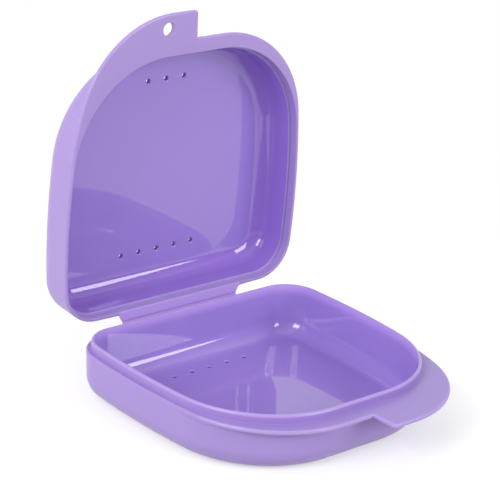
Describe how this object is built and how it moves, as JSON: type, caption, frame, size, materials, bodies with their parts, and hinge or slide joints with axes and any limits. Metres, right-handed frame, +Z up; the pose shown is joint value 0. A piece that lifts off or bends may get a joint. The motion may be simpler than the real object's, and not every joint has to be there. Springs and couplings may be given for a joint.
{
  "type": "retainer case",
  "caption": "Slim hinged plastic retainer case with lipped base, rebated lid, vent holes, front thumb tabs and a hang hole.",
  "frame": {"origin": "middle of the flat underside of the base, halfway along the depth of the rim plan", "axes": "+Z up out of the base, +X along the hinge, -Y from the hinge towards the thumb tabs"},
  "size_m": [0.0782, 0.0961, 0.0961],
  "materials": {
    "violet_polypropylene": "glossy moulded polypropylene, slightly translucent, satin on the outside"
  },
  "bodies": {
    "base": {"base_shell": "violet_polypropylene", "base_hinge_leaf": "violet_polypropylene", "hinge_web": "violet_polypropylene"},
    "lid": {"lid_shell": "violet_polypropylene", "lid_hinge_leaf": "violet_polypropylene"}
  },
  "joints": [
    {"name": "lid_hinge", "type": "hinge", "parent": "base", "child": "lid", "pos_m": [0, 0.03745, 0.01325], "axis": [-1, 0, 0], "range_deg": [-90, 90]}
  ]
}
